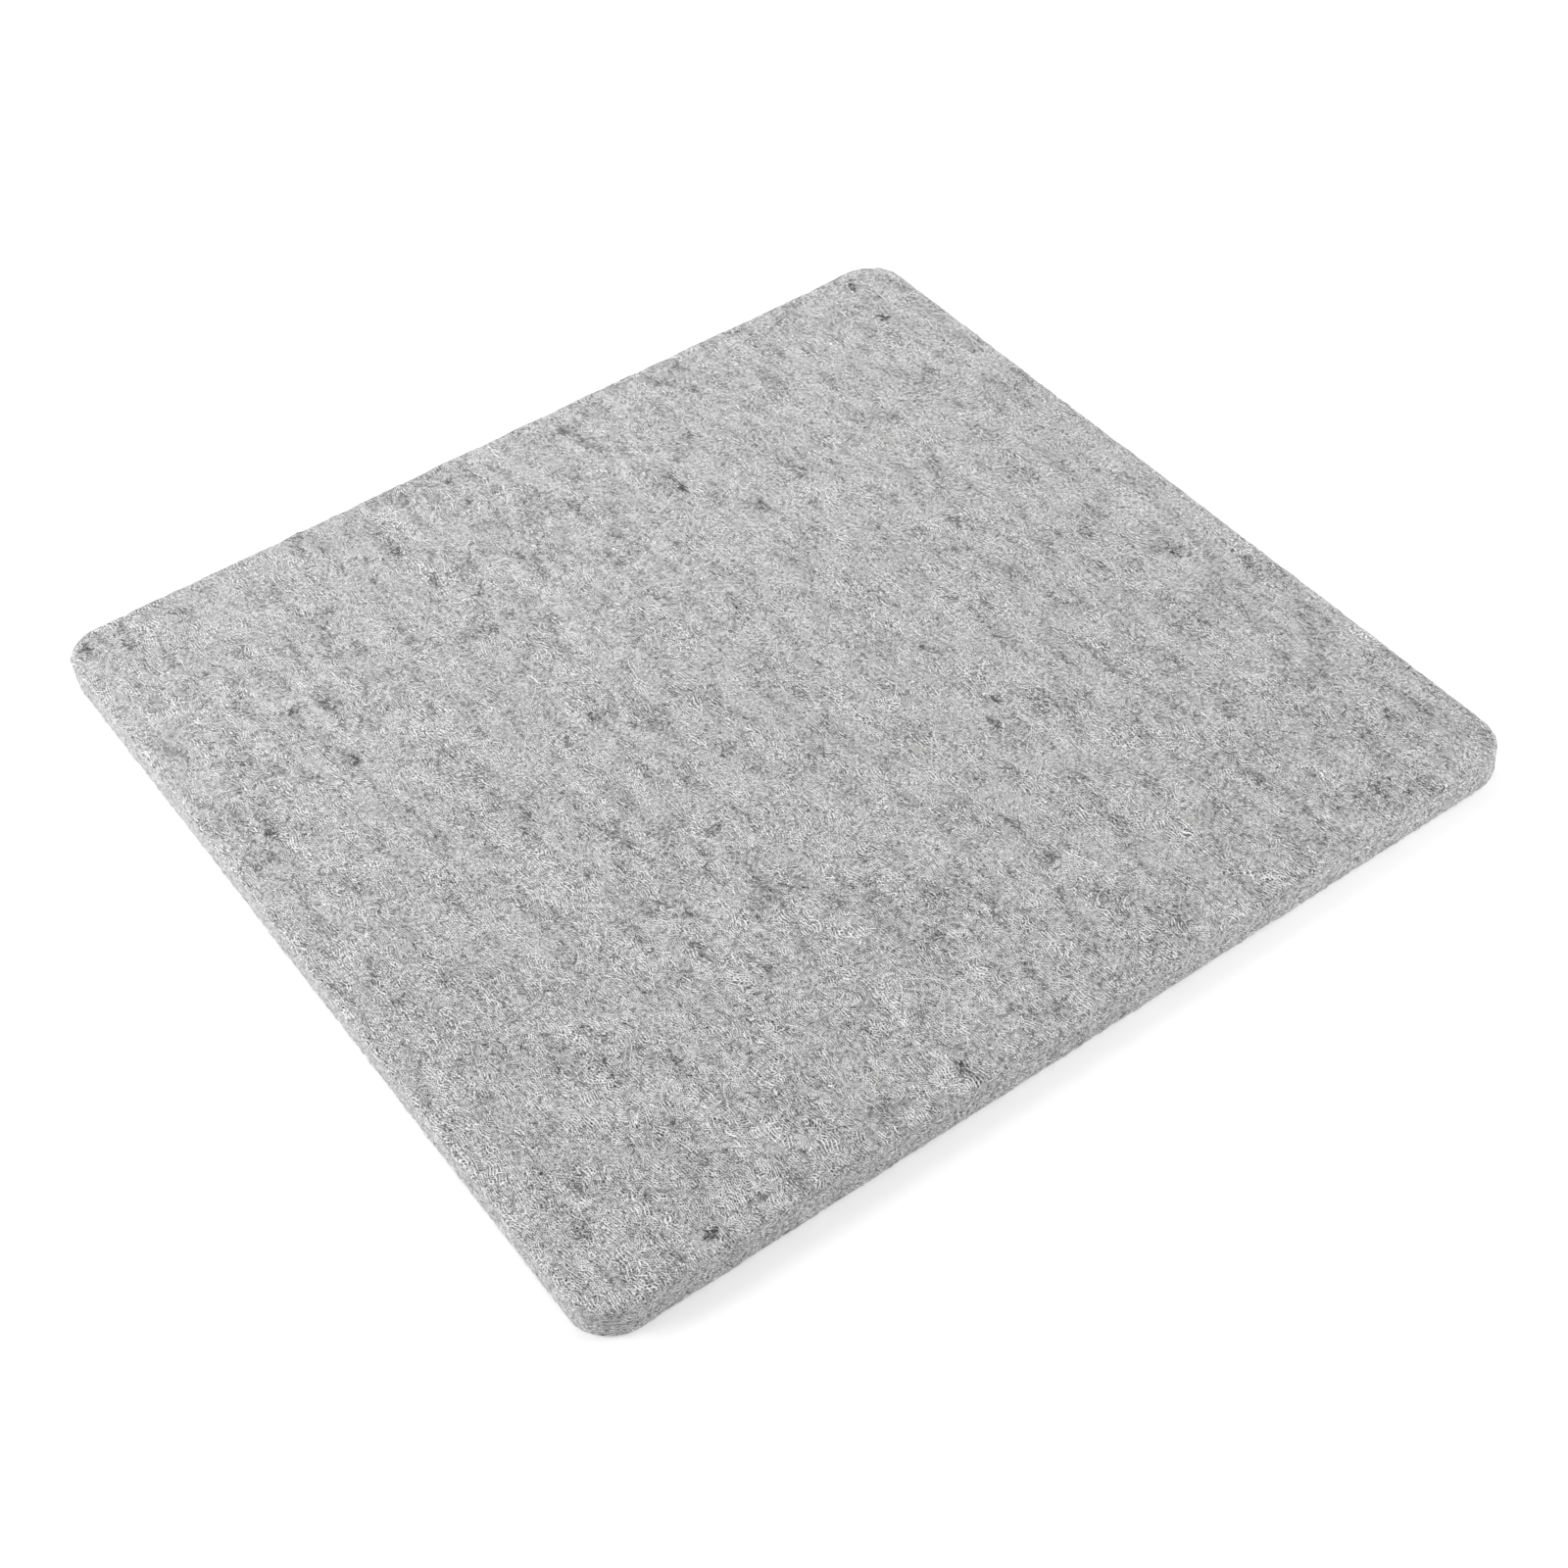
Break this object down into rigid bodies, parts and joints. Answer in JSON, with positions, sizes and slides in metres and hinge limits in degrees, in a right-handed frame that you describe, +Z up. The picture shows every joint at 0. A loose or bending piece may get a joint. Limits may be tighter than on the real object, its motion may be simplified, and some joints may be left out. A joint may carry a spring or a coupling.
{
  "type": "ironing pad",
  "caption": "Flat square pad of thick grey wool felt with rounded corners, laid on a table as a surface for ironing and pressing.",
  "frame": {"origin": "middle of the underside, on the surface that the pad lies on", "axes": "+Z up through the thickness, out of the pressing surface, +X and +Y along the two sides"},
  "size_m": [0.3556, 0.3556, 0.0127],
  "materials": {
    "face_felt": "matt heather grey wool felt with light and dark fibres",
    "core_felt": "matt cut edge of pressed grey wool felt"
  },
  "bodies": {
    "root": {"bottom_face_ply": "face_felt", "core_ply_1": "core_felt", "core_ply_2": "core_felt", "core_ply_3": "core_felt", "core_ply_4": "core_felt", "top_face_ply": "face_felt"}
  },
  "joints": []
}
